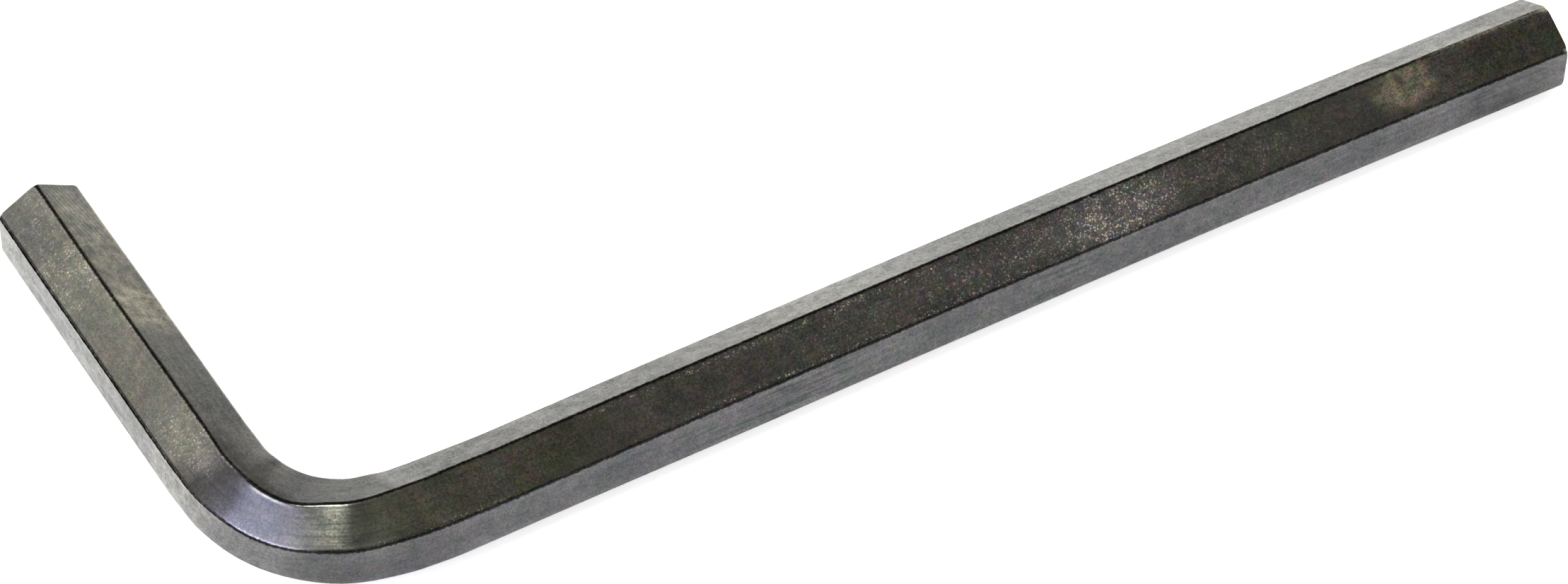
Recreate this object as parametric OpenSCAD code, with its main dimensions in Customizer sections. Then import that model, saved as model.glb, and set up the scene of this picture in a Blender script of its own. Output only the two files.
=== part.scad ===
// L-shaped hex key, cold bent from one length of hexagonal steel bar.
// It lies on its bottom edges with the bend flat on the table: the long arm runs along +X, the short arm along +Y.
// The origin is on the table, under the middle of the key's bounding box.

/* [Bar] */
// Width of the bar across its flats, which is the size of socket it fits
across_flats = 5; // [3:0.5:10]
// Radius of the bar's six long edges
edge_radius = 0.3; // [0.1:0.05:0.6]

/* [Arms] */
// Long arm, from the outside of the bend to its tip
long_arm = 85; // [60:1:200]
// Short arm, from the outside of the bend to its tip
short_arm = 33; // [22:1:80]
// Radius of the bend, along the middle of the bar
bend_radius = 7.5; // [6:0.5:14]

/* [Tips] */
// Chamfer turned on the six corners of each tip, at 45 degrees
end_chamfer = 0.1; // [0.05:0.05:0.5]

/* [Hidden] */
$fn = 96;

// The bar has six sides. Each long edge is an arc between two flats, drawn with a few chords
sides = 6;
side_angle = 360 / sides;
edge_chords = 4;

// The middle of each edge's arc, and how far the edges reach from the middle of the bar
edge_centre = (across_flats / 2 - edge_radius) / cos(side_angle / 2);
bar_radius = edge_centre + edge_radius;

// Where the bend begins and ends
bend_reach = bend_radius + across_flats / 2;
bend_centre = [bend_reach - long_arm / 2, bend_reach - short_arm / 2, bar_radius];

// Cutting shapes run past the bar by this much
overshoot = 1;

// The bar's outline: a rounded hexagon with an edge at the top and flats on the inside and outside of the bend
module bar_section() {
    polygon([
        for (edge = [0:sides - 1], chord = [0:edge_chords])
            let (
                middle = (edge + 0.5) * side_angle,
                turn = (chord / edge_chords - 0.5) * side_angle
            )
                edge_centre * [cos(middle), sin(middle)] + edge_radius * [cos(middle + turn), sin(middle + turn)]
    ]);
}

// A round blank that ends at the given length in the tip's chamfer
module chamfered_blank(length) {
    rotate_extrude()
        polygon([
            [0, -overshoot],
            [bar_radius + overshoot, -overshoot],
            [bar_radius + overshoot, length - end_chamfer - overshoot],
            [bar_radius - end_chamfer, length],
            [0, length]
        ]);
}

// A straight length of bar along +X, from the bend to the tip
module straight_arm(length) {
    intersection() {
        rotate([90, 0, 90])
            linear_extrude(length + overshoot)
                bar_section();
        rotate([0, 90, 0])
            chamfered_blank(length);
    }
}

// The quarter turn that joins the arms, outside corner towards -X and -Y
module bend() {
    rotate([0, 0, 180])
        rotate_extrude(angle = 90)
            translate([bend_radius, 0])
                bar_section();
}

module hex_key() {
    color("dimgray")
        translate(bend_centre) {
            translate([0, -bend_radius, 0])
                straight_arm(long_arm - bend_reach);
            bend();
            translate([-bend_radius, 0, 0])
                mirror([1, -1, 0])
                    straight_arm(short_arm - bend_reach);
        }
}

hex_key();
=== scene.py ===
# %% [markdown]
# # A bent hex key in dark steel
# The real key is one length of drawn hexagonal bar. It was cut off, its corners were turned at both tips,
# and it was bent cold by a quarter turn.
# The solid from the workshop drawing comes in as the fixed frame. It gives the place and the size.
# This script makes the surface that is seen, the steel's finish, the table, the camera and the light.

# %% Tools and the fixed frame
import math

import bpy
import numpy as np
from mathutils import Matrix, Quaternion, Vector


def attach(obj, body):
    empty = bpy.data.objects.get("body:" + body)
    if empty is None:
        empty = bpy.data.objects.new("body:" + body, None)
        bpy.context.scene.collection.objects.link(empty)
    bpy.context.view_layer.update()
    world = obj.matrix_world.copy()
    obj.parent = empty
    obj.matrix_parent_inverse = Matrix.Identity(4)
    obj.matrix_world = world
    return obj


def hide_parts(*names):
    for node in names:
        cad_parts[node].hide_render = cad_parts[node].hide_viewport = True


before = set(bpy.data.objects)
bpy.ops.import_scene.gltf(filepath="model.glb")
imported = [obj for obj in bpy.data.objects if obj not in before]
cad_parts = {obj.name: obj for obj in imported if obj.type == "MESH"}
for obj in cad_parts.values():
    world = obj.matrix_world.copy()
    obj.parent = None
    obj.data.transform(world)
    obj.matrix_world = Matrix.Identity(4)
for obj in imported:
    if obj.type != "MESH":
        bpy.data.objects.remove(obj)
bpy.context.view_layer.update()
scene = bpy.context.scene
MM = 0.001
print("frame nodes:", sorted(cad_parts))

# %% [markdown]
# ## The camera
# The photograph was taken from above, from the long arm's outer side, with a long lens, so the arms hardly
# converge. A camera could be placed by eye, but the key's straight edges say more: its place and lens were
# worked out so that the solid's edges fall on the edges in the picture. The small roll is how far the camera
# was held from level.

# %% Camera
# The lens and the sensor's width are in mm
CAMERA_PLACE = Vector((-133.898, -219.757, 267.988)) * MM
CAMERA_AIM = Vector((-4.817, -7.109, 0.0)) * MM
CAMERA_ROLL = math.radians(1.198)
CAMERA_LENS = 147.62
CAMERA_SENSOR = 36.0
CAMERA_NEAR = 0.01
VIEW_AXIS = (0, 0, 1)

camera_data = bpy.data.cameras.new("photo_camera")
camera_data.lens = CAMERA_LENS
camera_data.sensor_width = CAMERA_SENSOR
camera_data.clip_start = CAMERA_NEAR
camera = bpy.data.objects.new("photo_camera", camera_data)
camera.location = CAMERA_PLACE
camera.rotation_mode = "QUATERNION"
straight_view = (CAMERA_AIM - CAMERA_PLACE).to_track_quat("-Z", "Y")
camera.rotation_quaternion = straight_view @ Quaternion(VIEW_AXIS, CAMERA_ROLL)
scene.collection.objects.link(camera)
scene.camera = camera
print("camera distance in mm:", round((CAMERA_AIM - CAMERA_PLACE).length / MM, 1))

# %% [markdown]
# ## The line that the bar follows
# The bar's middle runs down the short arm, round a quarter circle and out along the long arm.
# The place on it is told by one number, the running length from the middle of the bend,
# negative on the short arm. Points, section and finish all read that number.
# A curve object with a bevel would sweep the bar too, but its section couldn't change in the bend.
# The long arm of the real key isn't quite straight: it bows a quarter of a millimetre towards the inside.

# %% Path of the bar
# Lengths are in mm until the skin is made
BEND_RADIUS = 7.5
BEND_CENTRE = (-32.5, -6.5)
LONG_STRAIGHT = 75.0
SHORT_STRAIGHT = 23.0
# Running length from the middle of the bend to where it ends
HALF_BEND = BEND_RADIUS * math.pi / 4
# Height of the bow, and the stretch after the bend over which it sets in
BOW_HEIGHT = 0.27
BOW_START = 6.0


def smooth_step(t):
    """Goes from 0 to 1 with level ends: three times the square of t less twice its cube,
    where t is first held to 0 and 1."""
    t = np.clip(t, 0.0, 1.0)
    return t * t * (3.0 - 2.0 * t)


def bow(run):
    """The long arm's bow at a running length: a parabola that is nought at both ends of the arm,
    times a smooth step that eases it in after the bend."""
    along = np.clip((run - HALF_BEND) / LONG_STRAIGHT, 0.0, 1.0)
    return BOW_HEIGHT * 4.0 * along * (1.0 - along) * smooth_step(along * LONG_STRAIGHT / BOW_START)


def bar_path(run):
    """Middle of the bar and its inward direction at each running length, in the plane of the bend.
    In the bend the point is the circle's centre minus the radius times the inward direction,
    which turns by the running length over the radius. On an arm the point moves on straight."""
    turn = np.clip((run + HALF_BEND) / BEND_RADIUS, 0.0, math.pi / 2)
    inward = np.stack([np.cos(turn), np.sin(turn)], axis=1)
    forward = np.stack([np.sin(turn), -np.cos(turn)], axis=1)
    past_bend = np.clip(run - HALF_BEND, 0.0, None) + np.clip(run + HALF_BEND, None, 0.0)
    middle = np.array(BEND_CENTRE) - BEND_RADIUS * inward + past_bend[:, None] * forward
    middle[:, 1] += bow(run)
    return middle, inward


check_run = np.array([-HALF_BEND - SHORT_STRAIGHT, 0.0, HALF_BEND + LONG_STRAIGHT])
print("path at short tip, bend and long tip in mm:", np.round(bar_path(check_run)[0], 3).tolist())

# %% [markdown]
# ## The section of the bar
# The bar is a hexagon with small rounded edges. Cold bending changes it: on the inside of the bend the steel
# is pushed together and the inner flat grows, and on the outside it is stretched and the bar gets thinner.
# So the six corners move a little with the running length, and the edges are rounded after that.
# The long edges of the real bar aren't ruled lines either: they wander by a tenth of a millimetre on the arms
# and by up to a third in the bend, where the steel was squeezed.

# %% Corners of the section
ACROSS_FLATS = 5.0
FLAT_SLOPE = math.radians(30)
EDGE_RADIUS = 0.3
CORNER_REACH = ACROSS_FLATS / math.sqrt(3.0)
# The bar's middle stands over the table by a corner's reach less what the rounding takes off it
MIDDLE_HEIGHT = CORNER_REACH - EDGE_RADIUS * (2.0 / math.sqrt(3.0) - 1.0)
# Half the stretch over which the bent section goes over into the straight one
BEND_EASE = 2.25
# What bending does to the inner corners, to the top and bottom ones, and to the outer ones:
# each moves inwards by the first number and away from the middle's height by the second
INNER_PUSH = (0.163, 0.363)
RIDGE_SHIFT = -0.136
OUTER_PULL = (0.201, -0.112)


def bent_share(run):
    """How fully bending has changed the section: 1 in the bend, 0 on the arms. Where the bend ends it is
    a smooth step of how deep inside the eased stretch the place is."""
    return smooth_step((HALF_BEND + BEND_EASE - np.abs(run)) / (2.0 * BEND_EASE))


# Wander of the long edges in mm. Each row: running length, the inner edge inwards, the top ridge and
# the side ridge outwards along the outer upper flat, and the lower outer edge outwards
WANDER = np.array([
    (-29.0, -0.05, 0.10, -0.01, -0.02), (-20.0, 0.00, 0.15, 0.01, -0.01), (-12.0, 0.02, 0.11, -0.01, -0.02),
    (-7.5, 0.04, 0.09, -0.02, -0.02), (-4.5, -0.09, 0.05, 0.03, 0.03), (-0.7, -0.11, 0.34, 0.19, 0.04),
    (2.0, -0.09, 0.03, 0.06, 0.07), (5.0, 0.05, -0.31, -0.13, -0.04), (7.5, 0.18, -0.10, -0.08, -0.05),
    (12.0, 0.00, 0.02, 0.01, -0.01), (26.0, 0.01, -0.01, 0.00, 0.06), (40.0, 0.02, -0.03, -0.02, 0.02),
    (58.0, 0.00, -0.02, -0.02, -0.05), (81.0, -0.10, 0.03, 0.02, -0.01),
])


def edge_wander(run):
    """The four edges' wander at each running length: the table's row before it and the row after it,
    mixed by a smooth step of the way between them."""
    row = np.clip(np.searchsorted(WANDER[:, 0], run) - 1, 0, len(WANDER) - 2)
    share = smooth_step((run - WANDER[row, 0]) / (WANDER[row + 1, 0] - WANDER[row, 0]))[:, None]
    return WANDER[row, 1:] * (1.0 - share) + WANDER[row + 1, 1:] * share


def section_corners(run):
    """The six sharp corners at each running length, as (stations, 6, 2) of inward and upward distances.
    They start at the bottom and go round by the inside. Each is moved by the bent share times its own shift,
    and by its wander. A slide outwards along the outer upper flat goes cos 30 out and sin 30 down,
    and the top ridge, when it slides inwards, keeps its height."""
    half, low = ACROSS_FLATS / 2, CORNER_REACH / 2
    plain = np.array([
        [0.0, -CORNER_REACH], [half, -low], [half, low],
        [0.0, CORNER_REACH], [-half, low], [-half, -low],
    ])
    push, pull = INNER_PUSH, OUTER_PULL
    shift = np.array([
        [RIDGE_SHIFT, 0.0], [push[0], -push[1]], [push[0], push[1]],
        [RIDGE_SHIFT, 0.0], [pull[0], pull[1]], [pull[0], -pull[1]],
    ])
    inner, ridge, side, lower = edge_wander(run).T
    still = np.zeros(len(run))
    out, down = math.cos(FLAT_SLOPE), math.sin(FLAT_SLOPE)
    moved_in = np.stack([still, inner, inner, -out * ridge, -out * side, -lower], axis=1)
    moved_up = np.stack([still, still, still, -down * np.clip(ridge, 0.0, None), -down * side, still], axis=1)
    return plain + bent_share(run)[:, None, None] * shift + np.stack([moved_in, moved_up], axis=2)


print("corners in the bend in mm:", np.round(section_corners(np.zeros(1))[0], 3).tolist())

# %% Rounded outline of the section
ARC_CHORDS = 6
FLAT_POINTS = 10


def rounded_outline(corners):
    """The outline through rounded corners, as (stations, points, 2).
    Each arc's middle is the corner, less the edge radius times the sum of the two side normals over one plus
    their dot product, and the arc turns from one normal to the next. The flat between two arcs gets points
    at half less half a cosine of the way, so that they stand closer near the edges."""
    after = np.roll(corners, -1, axis=1) - corners
    after = after / np.linalg.norm(after, axis=2, keepdims=True)
    normal_after = np.stack([after[..., 1], -after[..., 0]], axis=2)
    normal_before = np.roll(normal_after, 1, axis=1)
    closeness = 1.0 + (normal_before * normal_after).sum(axis=2, keepdims=True)
    middle = corners - EDGE_RADIUS * (normal_before + normal_after) / closeness
    start = np.arctan2(normal_before[..., 1], normal_before[..., 0])
    sweep = (np.arctan2(normal_after[..., 1], normal_after[..., 0]) - start) % (2.0 * math.pi)
    angle = start[..., None] + sweep[..., None] * np.linspace(0.0, 1.0, ARC_CHORDS + 1)
    arc = middle[:, :, None] + EDGE_RADIUS * np.stack([np.cos(angle), np.sin(angle)], axis=3)
    share = np.linspace(0.0, 1.0, FLAT_POINTS + 2)[1:-1]
    share = 0.5 - 0.5 * np.cos(math.pi * share)
    flat_end = np.roll(arc[:, :, 0], -1, axis=1)
    flat = arc[:, :, -1:] + share[:, None] * (flat_end[:, :, None] - arc[:, :, -1:])
    return np.concatenate([arc, flat], axis=2).reshape(len(corners), -1, 2)


straight_outline = rounded_outline(section_corners(np.array([LONG_STRAIGHT])))[0]
straight_height = np.ptp(straight_outline[:, 1])
print("points round the bar:", len(straight_outline), "height in mm:", round(straight_height, 4))

# %% [markdown]
# ## The tips
# Both ends were cut square and the six corners turned off a little, which leaves a tiny cone on each corner
# of the hexagonal end face. On the grid this is a limit on how far a point may stand from the bar's middle,
# and it shrinks by the same length that is left to the end. The rim itself is broken by a tiny round.

# %% Stations along the bar
TIP_CHAMFER = 0.15
RIM_ROUND = 0.08
# Steps between stations in the last bit of each tip, on the arms and in the bend
TIP_LENGTH = 0.6
STEP_TIP = 0.02
STEP_ARM = 0.25
STEP_BEND = 0.12
# Rings on the end faces, as shares of the outline
FACE_RINGS = np.array([0.99, 0.95, 0.86, 0.7, 0.5, 0.25])

short_end = -HALF_BEND - SHORT_STRAIGHT
long_end = HALF_BEND + LONG_STRAIGHT
bend_zone = HALF_BEND + BEND_EASE


def stations_between(start, end, step):
    """Stations from start up to, but without, end. The stretch is cut evenly into the whole number of parts
    that comes nearest to its length over the step."""
    return np.linspace(start, end, max(2, round((end - start) / step) + 1))[:-1]


run_rows = np.concatenate([
    stations_between(short_end, short_end + TIP_LENGTH, STEP_TIP),
    stations_between(short_end + TIP_LENGTH, -bend_zone, STEP_ARM),
    stations_between(-bend_zone, bend_zone, STEP_BEND),
    stations_between(bend_zone, long_end - TIP_LENGTH, STEP_ARM),
    stations_between(long_end - TIP_LENGTH, long_end, STEP_TIP),
    [long_end],
])
print("stations along the bar:", len(run_rows))

# %% Shape of the tips
# Farther out than any point of the bar, so it holds none back
FREE_REACH = 2.0 * ACROSS_FLATS


def turned_tips(outline, run):
    """Pulls the outline in near both ends. A point's reach is held to the bar's reach less the part of the
    chamfer that its distance to the end leaves over. Then the rim is rounded: the outline shrinks by the
    round's radius less the height of a quarter circle there."""
    to_end = np.minimum(run - short_end, long_end - run)
    limit = np.where(to_end < TIP_CHAMFER, MIDDLE_HEIGHT - TIP_CHAMFER + to_end, FREE_REACH)
    reach = np.linalg.norm(outline, axis=2)
    held = outline * np.minimum(1.0, limit[:, None] / reach)[..., None]
    inside = np.clip(RIM_ROUND - to_end, 0.0, None)
    shrink = RIM_ROUND - np.sqrt(RIM_ROUND ** 2 - inside ** 2)
    return held * (1.0 - shrink / (ACROSS_FLATS / 2))[:, None, None]


body = turned_tips(rounded_outline(section_corners(run_rows)), run_rows)
tip_reach = np.linalg.norm(body[[0, -1]], axis=2).max(axis=1)
print("end face reach in mm:", np.round(tip_reach, 3).tolist())

# %% [markdown]
# ## One closed skin
# The rows of the grid run from the middle of the short tip's face, out to its rim, along the whole bar,
# and in again to the middle of the long tip's face. The columns go round the bar. The last column joins
# the first, and one point closes each end, so the skin has no hole and no open seam.
# One grid for faces and bar keeps the rims watertight, which two joined parts might not be.

# %% Grid of the whole skin
rings_in = FACE_RINGS[::-1]
first_rings = rings_in[:, None, None] * body[0]
last_rings = FACE_RINGS[:, None, None] * body[-1]
outline_rows = np.concatenate([first_rings, body, last_rings])
skin_run = np.concatenate([np.full(len(rings_in), short_end), run_rows, np.full(len(FACE_RINGS), long_end)])
middle, inward = bar_path(skin_run)
flat_place = middle[:, None] + outline_rows[..., :1] * inward[:, None]
height = np.clip(MIDDLE_HEIGHT + outline_rows[..., 1:], 0.0, None)
grid = np.concatenate([flat_place, height], axis=2)
rows, columns = grid.shape[:2]
poles = np.array([[*middle[0], MIDDLE_HEIGHT], [*middle[-1], MIDDLE_HEIGHT]])
points = np.concatenate([grid.reshape(-1, 3), poles])
print("skin rows and columns:", rows, columns, "lowest point in mm:", round(points[:, 2].min(), 5))

# %% Faces of the skin
# Points are numbered row by row, and the two end points come last
row_of = np.arange(rows - 1)[:, None]
column_of = np.arange(columns)[None, :]
next_column = (column_of + 1) % columns
quads = np.stack([
    row_of * columns + column_of,
    row_of * columns + next_column,
    (row_of + 1) * columns + next_column,
    (row_of + 1) * columns + column_of,
], axis=2).reshape(-1, 4)
around = np.arange(columns)
around_next = (around + 1) % columns
last_row = (rows - 1) * columns
first_pole = rows * columns
first_fan = np.stack([np.full(columns, first_pole), around_next, around], axis=1)
last_fan = np.stack([np.full(columns, first_pole + 1), last_row + around, last_row + around_next], axis=1)
print("four-sided faces:", len(quads), "three-sided faces:", len(first_fan) + len(last_fan))

# %% Mesh of the skin
skin = bpy.data.meshes.new("hex_key_skin")
skin.from_pydata((points * MM).tolist(), [], quads.tolist() + first_fan.tolist() + last_fan.tolist())
skin.validate()
key = bpy.data.objects.new("hex_key_skin", skin)
scene.collection.objects.link(key)
print("skin triangles:", 2 * len(quads) + 2 * columns)

# %% [markdown]
# ## Smooth and sharp
# The flats and the rounded edges are shaded smoothly, because the edges have real chords. Only at the tips,
# round the end faces and their turned corners, does the steel turn sharply, so edges above a set angle stay
# sharp. Shading everything smoothly would smear the tips, and flat shading would show every chord.

# %% Shading of the skin
SHARP_ANGLE = math.radians(28.0)
skin.shade_smooth()
skin.set_sharp_from_angle(angle=SHARP_ANGLE)
sharp = np.zeros(len(skin.edges), bool)
skin.attributes["sharp_edge"].data.foreach_get("value", sharp)
print("sharp edges:", int(sharp.sum()))

# %% [markdown]
# ## Where the finish can find itself
# Drawing marks run along the bar, dark oxide sits on its edges, and wear comes in patches. So the finish has
# to know where it is on the bar, and not only where it is in space. A painted picture could tell it, but that
# would be a second file and as coarse as its pixels. Here the skin itself keeps a map of running length
# against the way round, the distance from the nearest edge, how much the bar is bent, and the strength of
# each kind of patch.
# The way round is told in sides and starts at the lowest edge, edge 0: from 2 to 3 is the inner upper flat,
# from 3 to 4 the outer upper flat, and from 4 to 5 the outer flat.

# %% Way round the bar
# Both lists have one value for each edge, from edge 0 round to edge 6, which is edge 0 again.
# On the ridges at edges 3 and 4 the dark oxide line sits this much to one side, in sides
EDGE_LINE_SHIFT = np.array([0.0, 0.0, 0.0, -0.015, 0.006, 0.0, 0.0])
# Edges 2 and 5 have hardly any of that line, as if they were this much farther away, in mm
EDGE_BARE = np.array([0.0, 0.0, 0.12, 0.0, 0.0, 0.12, 0.0])
chord_lengths = np.linalg.norm(np.roll(straight_outline, -1, axis=0) - straight_outline, axis=1)
girth = chord_lengths.sum()
side_length = girth / 6
arc_length = chord_lengths[:ARC_CHORDS].sum()
way_round = np.concatenate([[0.0], np.cumsum(chord_lengths)]) - arc_length / 2
side_place = way_round / side_length
nearest_edge = np.round(side_place).astype(int)
edge_distance = np.abs(side_place - nearest_edge - EDGE_LINE_SHIFT[nearest_edge]) * side_length
edge_distance = edge_distance + EDGE_BARE[nearest_edge]
print("girth in mm:", round(girth, 3), "one side in mm:", round(side_length, 3))

# %% Map of the skin
# On the end faces the running length goes on inwards, up to half the width across the flats
short_face_run = short_end - (1.0 - rings_in) * ACROSS_FLATS / 2
long_face_run = long_end + (1.0 - FACE_RINGS) * ACROSS_FLATS / 2
face_run = np.concatenate([short_face_run, run_rows, long_face_run])
first_run = short_end - ACROSS_FLATS / 2
last_run = long_end + ACROSS_FLATS / 2


def corner_pairs(run_of_corner, way_of_corner):
    """The map's two numbers at each corner of some faces: running length and way round, both in metres."""
    run_of_corner, way_of_corner = np.broadcast_arrays(run_of_corner, way_of_corner)
    return (np.stack([run_of_corner, way_of_corner], axis=-1) * MM).reshape(-1, 2)


low, high = way_round[:-1], way_round[1:]
quad_run = np.stack([face_run[:-1], face_run[:-1], face_run[1:], face_run[1:]], axis=1)[:, None]
quad_way = np.stack([low, high, high, low], axis=1)[None]
first_fan_run = np.array([first_run, face_run[0], face_run[0]])
last_fan_run = np.array([last_run, face_run[-1], face_run[-1]])
first_pairs = corner_pairs(first_fan_run, np.stack([low, high, low], axis=1))
last_pairs = corner_pairs(last_fan_run, np.stack([low, low, high], axis=1))
bar_map = skin.uv_layers.new(name="along_and_round")
pairs = np.concatenate([corner_pairs(quad_run, quad_way), first_pairs, last_pairs])
bar_map.uv.foreach_set("vector", pairs.astype(np.float32).ravel())
print("map corners:", len(pairs), "loops:", len(skin.loops))

# %% [markdown]
# ## Patches of wear, tint and painted light
# A used key looks different from place to place. Each kind of mark is a list of soft ellipses on the unrolled
# bar, set where the photograph shows them, and the finish reads how strong each kind is at every point.
# Glint is where bright points are painted in as sparkle, a painted highlight, and worn is where the oxide is
# thin.
# Dull is where the steel is darker: thick oxide, and painted shade where a face is darker for how the light
# falls on it.
# Rubbed is bare steel on an edge, and painted highlight where an edge catches the light.
# Streaked has strong drawing marks, ground has the grinding wheel's lines, and mottled has patchy tints.
# Blued is a painted bluish sheen: a bluish, brighter colour where the bend's highlight and the sparkles look
# blue.
# Browned is where the heat of the hardening left an olive oxide.

# %% Patches on the bar
# Each patch: running length and side place of its middle, half its length in mm, half its width in sides,
# and its strength
PATCHES = {
    "painted_glint": [
        (50.7, 3.5, 5.5, 0.9, 0.64), (44.0, 3.55, 9.0, 0.8, 0.31), (35.0, 3.5, 11.0, 0.8, 0.15),
        (58.0, 3.5, 8.0, 0.8, 0.2), (-22.5, 3.5, 4.0, 0.8, 0.16), (-7.8, 3.4, 3.6, 0.8, 0.14),
        (-1.9, 3.85, 1.8, 0.2, 0.13), (7.0, 3.93, 6.0, 0.05, 0.4), (36.0, 3.92, 20.0, 0.06, 0.8),
        (30.0, 3.09, 20.0, 0.05, 0.7), (40.0, 3.5, 44.0, 0.9, 0.05), (-26.5, 3.5, 4.0, 0.8, 0.09),
    ],
    "worn": [
        (70.3, 3.35, 2.8, 0.6, 1.05), (-7.6, 3.35, 2.8, 0.7, 0.15), (-18.4, 2.45, 3.4, 0.8, 0.72),
        (-24.0, 2.5, 6.0, 0.9, 0.4), (75.5, 2.85, 5.0, 0.3, 0.2), (1.7, 3.4, 0.7, 0.8, 0.12),
        (50.2, 3.5, 6.0, 0.8, 0.2), (-2.6, 2.5, 1.7, 0.9, 0.15), (32.0, 2.5, 6.0, 0.9, 0.14),
        (-7.0, 4.5, 4.0, 0.9, 0.18),
    ],
    "dull_and_painted_shade": [
        (-8.5, 2.5, 4.5, 0.9, 0.16), (2.8, 3.5, 1.2, 0.9, 0.38), (78.0, 3.5, 5.0, 0.8, 0.28),
        (20.0, 3.5, 10.0, 0.9, 0.12), (44.5, 2.5, 10.0, 0.9, 0.125), (42.0, 4.5, 62.0, 0.85, 0.27),
        (-14.0, 3.5, 3.5, 0.9, 0.1), (-1.8, 3.45, 2.8, 0.9, 0.47), (10.5, 2.5, 5.5, 0.9, 0.22),
        (22.0, 2.5, 14.0, 0.9, 0.16), (-25.5, 3.5, 5.5, 0.9, 0.14), (1.8, 4.5, 3.2, 0.9, 0.33),
        (-23.5, 4.5, 6.0, 0.9, 0.13), (-12.5, 4.5, 8.0, 0.9, 0.15), (76.5, 4.5, 6.0, 0.9, 0.36),
        (62.0, 2.5, 24.0, 0.9, 0.06), (78.5, 2.5, 4.0, 0.9, 0.14), (5.5, 4.5, 4.0, 0.9, 0.3),
        (69.5, 2.5, 4.5, 0.9, 0.13),
    ],
    "rubbed_and_painted_highlight": [
        (-1.7, 3.065, 1.5, 0.04, 0.26), (77.5, 2.99, 7.0, 0.04, 0.35), (80.8, 3.0, 0.7, 0.08, 1.0),
        (80.8, 3.96, 0.35, 0.05, 0.6),
    ],
    "streaked": [
        (29.0, 4.5, 8.0, 0.9, 0.9), (46.5, 4.5, 3.5, 0.9, 0.4), (73.0, 4.5, 9.0, 0.9, 0.4),
        (-1.5, 3.5, 3.5, 0.9, 0.15), (-18.0, 4.5, 12.0, 0.9, 0.2),
    ],
    "ground": [(-27.0, 2.55, 5.0, 0.8, 1.0)],
    "mottled": [
        (42.0, 3.5, 43.0, 0.9, 0.85), (76.0, 3.5, 12.0, 0.9, 1.3), (-17.0, 3.5, 14.0, 0.9, 0.3),
        (11.0, 3.5, 9.5, 0.85, 0.9), (40.0, 4.5, 60.0, 0.9, 0.25),
    ],
    "painted_blue_sheen": [
        (-3.0, 3.5, 4.2, 0.9, 0.9), (46.0, 3.5, 20.0, 0.9, 0.2), (50.2, 3.5, 6.0, 0.9, 1.0),
        (-2.6, 2.5, 2.2, 0.9, 0.4),
    ],
    "browned": [(10.0, 3.5, 13.0, 0.9, 1.0), (77.0, 3.5, 6.0, 0.9, 0.6), (-16.0, 3.5, 14.0, 0.9, 0.4)],
}
print("patches:", {name: len(patches) for name, patches in PATCHES.items()})

# %% Strength of the patches on the skin
# Patches of these kinds end where their flat ends
ONE_FLAT_KINDS = ("painted_glint", "mottled", "painted_blue_sheen", "browned")
# The higher it is, the larger the full middle of a patch and the steeper its rim
PATCH_FALL = 1.6


def patch_strength(patches, run, side, one_flat):
    """Strength of one kind of mark at each point: each patch's strength times a smooth fall from the middle
    to the rim of its ellipse. At each point the strongest patch counts."""
    centre_run, centre_side, half_run, half_side, strength = np.array(patches).T[:, :, None, None]
    reach = np.hypot((run[:, None] - centre_run) / half_run, (side[None, :] - centre_side) / half_side)
    if one_flat:
        reach = np.where(np.floor(side) == np.floor(centre_side), reach, 1.0)
    return (strength * smooth_step(PATCH_FALL * (1.0 - reach))).max(axis=0)


def store_on_points(name, values, at_ends=0.0):
    """Stores one number per point of the skin: those of the grid first, then one for each end's middle."""
    layer = skin.attributes.new(name, "FLOAT", "POINT")
    layer.data.foreach_set("value", np.append(values.ravel(), [at_ends, at_ends]).astype(np.float32))


side_of_column = side_place[:-1]
for name, patches in PATCHES.items():
    store_on_points(name, patch_strength(patches, face_run, side_of_column, name in ONE_FLAT_KINDS))
on_body = (face_run >= short_end) & (face_run <= long_end)
edge_rows = np.where(on_body[:, None], edge_distance[:-1][None], side_length)
store_on_points("edge_distance", edge_rows, side_length)
store_on_points("bent", np.repeat(bent_share(skin_run)[:, None], columns, axis=1))
print("numbers stored on the skin:", [a.name for a in skin.attributes if a.data_type == "FLOAT"])

# %% [markdown]
# ## A short way to write a finish
# A finish is a tree of nodes. It could be drawn by hand in the shader editor, but then it couldn't be read
# here. Written out in full, each node takes four lines, so a small workbench keeps the tree and adds one node
# per call. Every call gives back the output that the next one reads.

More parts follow.
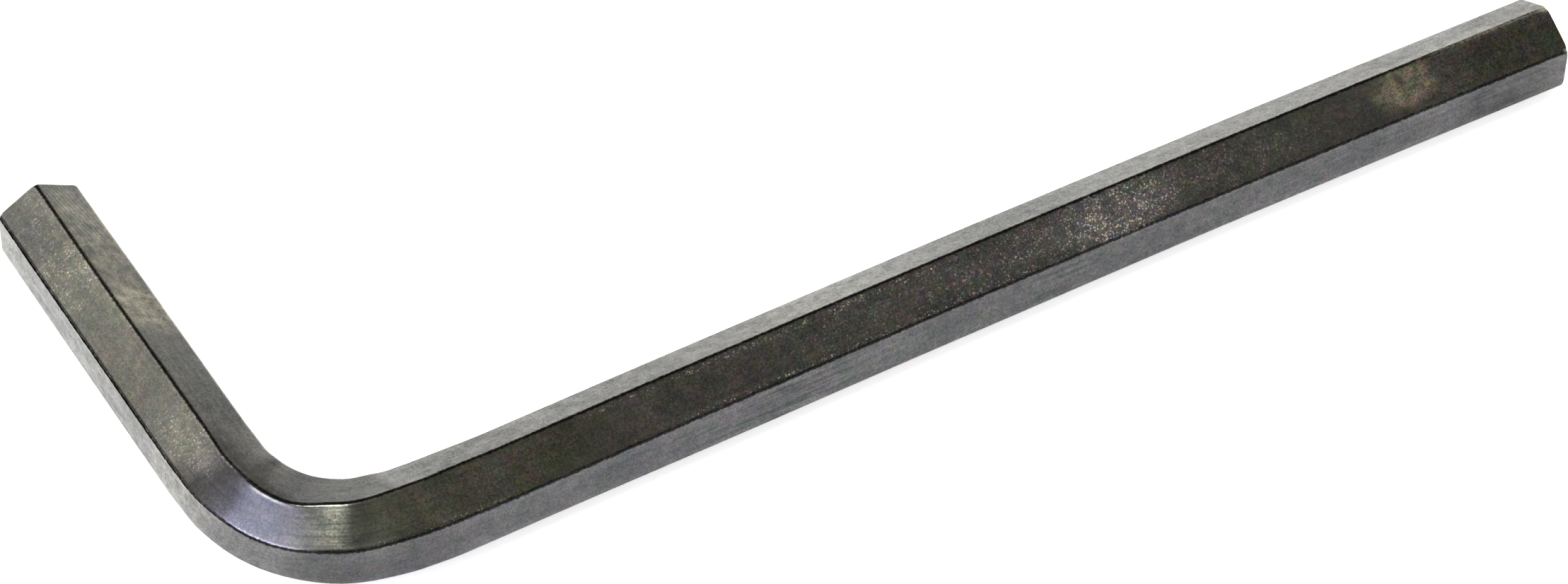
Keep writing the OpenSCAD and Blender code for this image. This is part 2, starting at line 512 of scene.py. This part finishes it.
# %% Workbench for node trees
class Finish:
    """One material and short calls that add its nodes."""

    def __init__(self, name):
        self.material = bpy.data.materials.new(name)
        self.material.use_nodes = True
        self.tree = self.material.node_tree
        self.shader = self.tree.nodes["Principled BSDF"]

    def add(self, kind, inputs=(), **settings):
        """Adds a node, sets its settings, and links or sets each input that is given by name or number."""
        made = self.tree.nodes.new(kind)
        for setting, value in settings.items():
            setattr(made, setting, value)
        for place, value in dict(inputs).items():
            if isinstance(value, bpy.types.NodeSocket):
                self.tree.links.new(value, made.inputs[place])
            else:
                made.inputs[place].default_value = value
        return made

    def finish_with(self, name, socket):
        """Links a result to the shader's input of that name."""
        self.tree.links.new(socket, self.shader.inputs[name])

    def number(self, operation, first, second=0.0, third=0.0):
        """One arithmetic step on up to three numbers."""
        return self.add("ShaderNodeMath", {0: first, 1: second, 2: third}, operation=operation).outputs[0]

    def product(self, first, *others):
        """All the numbers multiplied, from the first to the last."""
        for other in others:
            first = self.number("MULTIPLY", first, other)
        return first

    def line(self, value, slope, start):
        """A straight line: the value times the slope, plus the start."""
        return self.number("MULTIPLY_ADD", value, slope, start)

    def centred(self, value):
        """A number between 0 and 1, less a half."""
        return self.number("SUBTRACT", value, 0.5)

    def vector(self, operation, first, second=(0.0, 0.0, 0.0)):
        """One arithmetic step on one or two vectors or colours."""
        return self.add("ShaderNodeVectorMath", {0: first, 1: second}, operation=operation).outputs[0]

    def scaled(self, vector, factor):
        """A vector or colour times one number."""
        return self.add("ShaderNodeVectorMath", {0: vector, 3: factor}, operation="SCALE").outputs[0]

    def around_one(self, value, strength):
        """A number between 0 and 1 turned into a factor around 1: one plus the strength times the number
        less a half."""
        return self.line(self.centred(value), strength, 1.0)

    def leaning(self, colour, strength):
        """A random colour turned into a small vector: the strength times the colour less a half."""
        return self.scaled(self.vector("SUBTRACT", colour, (0.5, 0.5, 0.5)), strength)

    def tint(self, colour, strength):
        """A random colour turned into a tint around white: white plus that small vector."""
        return self.vector("ADD", self.leaning(colour, strength), (1.0, 1.0, 1.0))

    def span(self, value, low, high, to_low=0.0, to_high=1.0):
        """Maps a number from one span to another by a smooth step, so that it never overshoots."""
        inputs = {"Value": value, "From Min": low, "From Max": high, "To Min": to_low, "To Max": to_high}
        return self.add("ShaderNodeMapRange", inputs, interpolation_type="SMOOTHSTEP").outputs["Result"]

    def spread(self, soft_noise, to_low, to_high):
        """Soft noise seldom leaves 0.3 to 0.7, so that span is mapped to the wanted one."""
        return self.span(soft_noise, 0.3, 0.7, to_low, to_high)

    def stored(self, name):
        """A number that is stored on the points of the skin."""
        return self.add("ShaderNodeAttribute", attribute_name=name).outputs["Fac"]

    def noise(self, place, per_metre, detail):
        """Soft noise with about so many features per metre, as its number and its colour."""
        made = self.add("ShaderNodeTexNoise", {"Vector": place, "Scale": per_metre, "Detail": detail})
        return made.outputs["Fac"], made.outputs["Color"]

    def cells(self, place, per_metre):
        """Cells, about so many per metre: each has a random colour and tells the distance from its middle."""
        return self.add("ShaderNodeTexVoronoi", {"Vector": place, "Scale": per_metre}).outputs

    def parts(self, colour):
        """The red, green and blue of a colour, as three numbers."""
        return self.add("ShaderNodeSeparateColor", {"Color": colour}).outputs

    def blend(self, share, first, second):
        """Mixes two colours by a share."""
        return self.add("ShaderNodeMix", {0: share, 6: first, 7: second}, data_type="RGBA").outputs[2]


# %% [markdown]
# ## Dark drawn steel
# The key's steel was drawn, hardened and given a thin dark oxide. Close up it isn't one grey: it has a fine
# grain of crystals, of which some glint, softer clouds of tint, and streaks along the bar. The glints are
# painted highlights here: bright points in the colour.
# The grain and the clouds fill space, so they cross the edges without a break. The streaks follow the map of
# the bar, so they turn with it in the bend.

# %% Places that the steel reads
steel = Finish("dark_drawn_steel")
space = steel.add("ShaderNodeTexCoord").outputs["Object"]
bar = steel.add("ShaderNodeUVMap", uv_map="along_and_round").outputs["UV"]
patch = {name: steel.stored(name) for name in PATCHES}
edge_gap = steel.stored("edge_distance")
bent = steel.stored("bent")
print("kinds of patch:", len(patch), "nodes:", len(steel.tree.nodes))

# %% Grain, clouds and streaks of the steel
GRAINS_PER_METRE = 9000
FLAKES_PER_METRE = 10500
CLOUDS_PER_METRE = 1300
WIDE_CLOUDS_PER_METRE = 260
RAGGED_PER_METRE = 5000
STREAKS_PER_METRE = 3800
# Along the bar the map is squeezed to this share, which draws the streaks out
ALONG_THE_BAR = (0.05, 1.0, 1.0)
grain = steel.cells(space, GRAINS_PER_METRE)["Color"]
flake = steel.cells(space, FLAKES_PER_METRE)
flake_parts = steel.parts(flake["Color"])
cloud, cloud_colour = steel.noise(space, CLOUDS_PER_METRE, detail=3.0)
wide, wide_colour = steel.noise(space, WIDE_CLOUDS_PER_METRE, detail=2.0)
ragged, ragged_colour = steel.noise(space, RAGGED_PER_METRE, detail=1.0)
drawn_map = steel.vector("MULTIPLY", bar, ALONG_THE_BAR)
streak, _ = steel.noise(drawn_map, STREAKS_PER_METRE, detail=3.0)
print("grains across one flat:", round(GRAINS_PER_METRE * ACROSS_FLATS / math.sqrt(3.0) * MM))

# %% Lines left by the grinding wheel near the short tip
# The lines are the sine of the place along one direction of the map. The clouds make them waver a little
LINE_GAP = 0.27 * MM
LINE_LEAN = math.radians(10.0)
LINE_WAVER = 2.0
line_pace = 2.0 * math.pi / LINE_GAP
line_way = (math.sin(LINE_LEAN) * line_pace, math.cos(LINE_LEAN) * line_pace, 0.0)
phase = steel.add("ShaderNodeVectorMath", {0: bar, 1: line_way}, operation="DOT_PRODUCT").outputs["Value"]
phase = steel.line(cloud, LINE_WAVER, phase)
lines = steel.product(steel.number("SINE", phase), patch["ground"])
print("lines in one mm:", round(MM / LINE_GAP, 1))

# %% [markdown]
# ## Tone and tint
# How light the steel is and which colour it leans to are kept apart, because the eye sees the one as form and
# the other as oxide. The tone is a product of factors around one, so each layer can be made weaker or
# stronger by one number, and the mean hardly moves.

# %% Tone of the steel
# How much each layer lightens and darkens the steel
GRAIN_CONTRAST = 0.34
MOTTLED_CONTRAST = 0.4
CLOUD_CONTRAST = 0.5
WIDE_CONTRAST = 0.4
STREAK_CONTRAST = 0.34
STREAKED_CONTRAST = 1.6
LINE_CONTRAST = 0.12
grain_contrast = steel.line(patch["mottled"], MOTTLED_CONTRAST, GRAIN_CONTRAST)
streak_contrast = steel.line(patch["streaked"], STREAKED_CONTRAST, STREAK_CONTRAST)
grain_factor = steel.around_one(flake_parts["Blue"], grain_contrast)
cloud_factor = steel.around_one(cloud, CLOUD_CONTRAST)
wide_factor = steel.around_one(wide, WIDE_CONTRAST)
streak_factor = steel.around_one(streak, streak_contrast)
# Dull patches darken the tone: thick oxide, and painted shade where a face is darker for how the light falls
# on it
dull_and_painted_shade_factor = steel.line(patch["dull_and_painted_shade"], -1.0, 1.0)
line_factor = steel.line(lines, LINE_CONTRAST, 1.0)
tone = steel.product(grain_factor, cloud_factor, wide_factor, streak_factor, dull_and_painted_shade_factor, line_factor)
print("nodes with the tone:", len(steel.tree.nodes))

# %% Colour of the steel
# Dark, worn and rubbed are colours: rubbed is bare steel on edges and painted highlight. Blued, a painted
# bluish sheen, and browned are factors on them
DARK_STEEL = (0.116, 0.1165, 0.1215, 1.0)
WORN_STEEL = (0.30, 0.287, 0.245, 1.0)
RUBBED_STEEL_AND_PAINTED_HIGHLIGHT = (0.80, 0.79, 0.74, 1.0)
PAINTED_BLUE_SHEEN = (1.45, 1.45, 1.65, 1.0)
BROWNED_STEEL = (0.99, 1.03, 0.86, 1.0)
AS_IT_IS = (1.0, 1.0, 1.0, 1.0)
# The clouds break up the wear between these two factors
WEAR_LEAST, WEAR_MOST = 0.4, 1.3
# Strength of the random tints, everywhere and what mottled patches add
EVEN_TINT = 0.18
MOTTLED_TINT = 0.45
TINT_SHARES = ((grain, 0.35), (ragged_colour, 0.6), (cloud_colour, 1.1), (wide_colour, 0.3))
wear = steel.product(patch["worn"], steel.spread(cloud, WEAR_LEAST, WEAR_MOST))
base = steel.scaled(steel.blend(wear, DARK_STEEL, WORN_STEEL), tone)
# Painted bluish sheen: a bluish, brighter colour where the bend's highlight and the sparkles look blue
base = steel.vector("MULTIPLY", base, steel.blend(patch["painted_blue_sheen"], AS_IT_IS, PAINTED_BLUE_SHEEN))
base = steel.vector("MULTIPLY", base, steel.blend(patch["browned"], AS_IT_IS, BROWNED_STEEL))
mottle = steel.line(patch["mottled"], MOTTLED_TINT, EVEN_TINT)
for random_colour, share in TINT_SHARES:
    base = steel.vector("MULTIPLY", base, steel.tint(random_colour, steel.product(mottle, share)))
print("nodes with the colour:", len(steel.tree.nodes))

# %% [markdown]
# ## Painted glints and oxide
# The photograph shows single bright points, not a lighter grey: crystals that catch the light. Here they are
# painted highlights in the colour. Each cell of the flake pattern has a random number, and a high power of it
# leaves only few cells bright. A bright cell is brightest in its middle and fades to its rim, so that it
# looks like a point and not like a chip.
# The dark lines on the ridges are thick oxide in the rounded edges, with a ragged rim. Its darkness also goes
# into the tint of the mirror image at a flat angle, as the tone does, since metal seen that way would
# otherwise lose all its marks.

# %% Glinting flakes
# Painted glint: the brightest flake adds this many times the steel's tone, but no flake is made brighter than
# the second allows
PAINTED_GLINT_LIGHT = 10.0
MOST_PAINTED_GLINT_LIGHT = 6.5
# Power of the random number that leaves few flakes bright
FLAKE_RARITY = 6.0
FLAKE_TINT = 0.12
# The clouds gather the flakes between these two factors
CLUSTER_LEAST, CLUSTER_MOST = 0.5, 1.35
# A flake shines fully up to its core and faintly from its rim on, both as shares of a cell
FLAKE_CORE, FLAKE_RIM = 0.27, 0.8
FLAKE_RIM_SHINE = 0.12
flake_share = steel.product(patch["painted_glint"], steel.spread(cloud, CLUSTER_LEAST, CLUSTER_MOST))
flake_fade = steel.span(flake["Distance"], FLAKE_CORE, FLAKE_RIM, 1.0, FLAKE_RIM_SHINE)
flake_shine = steel.product(steel.number("POWER", flake_parts["Red"], FLAKE_RARITY), flake_share, flake_fade)
painted_glint_light = steel.line(flake_shine, PAINTED_GLINT_LIGHT, 1.0)
# The steel's colour is brightened at the flakes: painted glints
base = steel.scaled(base, steel.number("MINIMUM", painted_glint_light, MOST_PAINTED_GLINT_LIGHT))
base = steel.vector("MULTIPLY", base, steel.tint(grain, steel.product(patch["painted_glint"], FLAKE_TINT)))
print("nodes with the flakes:", len(steel.tree.nodes))

# %% Dark oxide on the edges
# The oxide is darkest up to the first distance from an edge and gone at the second, in mm
OXIDE_FULL, OXIDE_GONE = 0.045, 0.145
# Share of the steel's tone that full oxide leaves
EDGE_DARK = 0.16
# The rim of the oxide moves by this many mm times the noise less a half
RAGGED_BY = 0.2
# Full rubbing moves it this much towards the edge, in mm, and the noise breaks up the rubbed steel and
# painted highlight
RUBBED_AND_PAINTED_HIGHLIGHT_BACK = 0.2
RUBBED_AND_PAINTED_HIGHLIGHT_LEAST, RUBBED_AND_PAINTED_HIGHLIGHT_MOST = 0.5, 1.2
# Share of the tone that the mirror image at a flat angle keeps
MIRROR_SHARE = 0.95
ragged_gap = steel.line(steel.centred(ragged), RAGGED_BY, edge_gap)
ragged_gap = steel.line(patch["rubbed_and_painted_highlight"], RUBBED_AND_PAINTED_HIGHLIGHT_BACK, ragged_gap)
oxide = steel.span(ragged_gap, OXIDE_FULL, OXIDE_GONE, EDGE_DARK, 1.0)
# Rubbed patches lay a pale colour on the edges: bare steel, and painted highlights where an edge or tip facet
# catches the light
rubbed_and_painted_highlight = steel.product(patch["rubbed_and_painted_highlight"], steel.spread(ragged, RUBBED_AND_PAINTED_HIGHLIGHT_LEAST, RUBBED_AND_PAINTED_HIGHLIGHT_MOST))
base = steel.blend(rubbed_and_painted_highlight, steel.scaled(base, oxide), RUBBED_STEEL_AND_PAINTED_HIGHLIGHT)
steel.finish_with("Base Color", base)
steel.finish_with("Specular Tint", steel.product(tone, oxide, MIRROR_SHARE))
steel.shader.inputs["Metallic"].default_value = 1.0
print("nodes with the oxide:", len(steel.tree.nodes))

# %% [markdown]
# ## Polish and grain
# Noise in the colour alone would look like paint. So the polish changes too, from cloud to cloud and across
# the streaks, the steel is a little smoother where it was bent, and every grain tilts the surface by its own
# small angle. The lamps do the rest.

# %% Polish of the steel
# Roughness between the clearest and the most clouded places, and what streaks and bending add to it
CLEAREST, MOST_CLOUDED = 0.19, 0.26
STREAK_ROUGH = 0.12
BENT_ROUGH = -0.03
rough = steel.spread(wide, CLEAREST, MOST_CLOUDED)
rough = steel.line(steel.centred(streak), STREAK_ROUGH, rough)
rough = steel.line(bent, BENT_ROUGH, rough)
steel.finish_with("Roughness", rough)
print("roughness of a clear bend:", round(CLEAREST + BENT_ROUGH, 2))

# %% Tilt of the grains and depth of the streaks
# How far a grain leans its surface, and what a shining flake adds
GRAIN_TILT = 0.015
FLAKE_TILT = 0.1
STREAK_RELIEF = 0.15
STREAK_DEPTH = 0.02 * MM
tilt = steel.line(flake_shine, FLAKE_TILT, GRAIN_TILT)
straight_out = steel.add("ShaderNodeNewGeometry").outputs["Normal"]
facing = steel.vector("NORMALIZE", steel.vector("ADD", straight_out, steel.leaning(grain, tilt)))
relief = {"Height": streak, "Strength": STREAK_RELIEF, "Distance": STREAK_DEPTH, "Normal": facing}
steel.finish_with("Normal", steel.add("ShaderNodeBump", relief).outputs["Normal"])
skin.materials.append(steel.material)
print("nodes in the steel:", len(steel.tree.nodes))

# %% [markdown]
# ## Table
# The photograph's ground is pure white, without a shadow, as on a light table. A plain white sheet would turn
# grey and keep the key's shadow. So the table is pale and glows a little, which also gives the key's lower
# faces something bright to reflect.

# %% Table
# Side in metres
TABLE_SIZE = 6.0
TABLE_GLOW = 0.62
TABLE_ROUGH = 0.8
TABLE_WHITE = (0.9, 0.9, 0.9, 1.0)
GLOW_WHITE = (1.0, 1.0, 1.0, 1.0)
half_table = TABLE_SIZE / 2
table_mesh = bpy.data.meshes.new("table_top")
signs = [(-1, -1), (1, -1), (1, 1), (-1, 1)]
table_corners = [(x * half_table, y * half_table, 0.0) for x, y in signs]
table_mesh.from_pydata(table_corners, [], [(0, 1, 2, 3)])
table = bpy.data.objects.new("table_top", table_mesh)
scene.collection.objects.link(table)
pale = Finish("pale_table")
pale.shader.inputs["Base Color"].default_value = TABLE_WHITE
pale.shader.inputs["Roughness"].default_value = TABLE_ROUGH
pale.shader.inputs["Emission Color"].default_value = GLOW_WHITE
pale.shader.inputs["Emission Strength"].default_value = TABLE_GLOW
table_mesh.materials.append(pale.material)
print("table's side in metres:", TABLE_SIZE)

# %% [markdown]
# ## Light
# Bare metal shows its surroundings more than its own colour. Lamps could be moved by eye until the key looks
# right, but each one changes several faces at once. So each soft light stands where a face of the key mirrors
# it. The outer upper flat of the long arm mirrors only the plain room above, and the bend sweeps across the
# lamp overhead. The strengths come from pictures with one lamp at a time: their sum had to give each face the
# tone that it has in the photograph.

# %% Soft lights
LIGHT_DISTANCE = 1.0
# Each lamp: turn and rise of its direction and the two angles that it fills, in degrees, and its glow
SOFT_LIGHTS = {
    "overhead": (215, 70, 20, 16, (16.3, 17.1, 15.0)),
    "high_left": (190, 42, 40, 24, (3.08, 3.10, 3.60)),
    "left": (195, 22, 40, 25, (6.55, 6.20, 7.60)),
    "high_behind": (110, 55, 24, 20, (1.73, 1.65, 1.49)),
    "behind": (100, 25, 40, 16, (9.75, 9.70, 7.10)),
    "behind_low": (80, 12, 60, 20, (0.836, 0.858, 0.855)),
    "behind_left": (125, 42, 24, 20, (1.47, 1.42, 1.29)),
    "right_low": (30, 6, 40, 12, (1.48, 1.50, 1.40)),
}


def soft_light(name, turn, rise, wide, tall, glow):
    """A rectangular soft light that faces the key. turn and rise tell its direction, wide and tall the angles
    that it fills. Each side is twice the distance times the tangent of half its angle. The power is pi times
    the area times the strongest part of the glow, which is a red, green and blue brightness."""
    lamp = bpy.data.lights.new(name, "AREA")
    lamp.shape = "RECTANGLE"
    lamp.size = 2.0 * LIGHT_DISTANCE * math.tan(math.radians(wide) / 2)
    lamp.size_y = 2.0 * LIGHT_DISTANCE * math.tan(math.radians(tall) / 2)
    lamp.energy = math.pi * lamp.size * lamp.size_y * max(glow)
    lamp.color = [part / max(glow) for part in glow]
    lamp_object = bpy.data.objects.new(name, lamp)
    turn, rise = math.radians(turn), math.radians(rise)
    away = Vector((math.cos(turn) * math.cos(rise), math.sin(turn) * math.cos(rise), math.sin(rise)))
    lamp_object.location = away * LIGHT_DISTANCE
    lamp_object.rotation_mode = "QUATERNION"
    lamp_object.rotation_quaternion = (-away).to_track_quat("-Z", "Y")
    scene.collection.objects.link(lamp_object)


for name, setting in SOFT_LIGHTS.items():
    soft_light(name, *setting)

# %% Room
# The room is a plain, slightly warm grey. Standard keeps the picture's tones as they were worked out
ROOM_COLOUR = (0.381, 0.357, 0.286, 1.0)
room = bpy.data.worlds.new("studio")
scene.world = room
room.use_nodes = True
room.node_tree.nodes["Background"].inputs["Color"].default_value = ROOM_COLOUR
room.node_tree.nodes["Background"].inputs["Strength"].default_value = 1.0
scene.view_settings.view_transform = "Standard"
print("room's brightness:", round(sum(ROOM_COLOUR[:3]) / 3, 3))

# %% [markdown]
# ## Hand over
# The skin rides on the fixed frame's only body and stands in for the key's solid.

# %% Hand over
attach(key, "root")
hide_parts("hex_key")
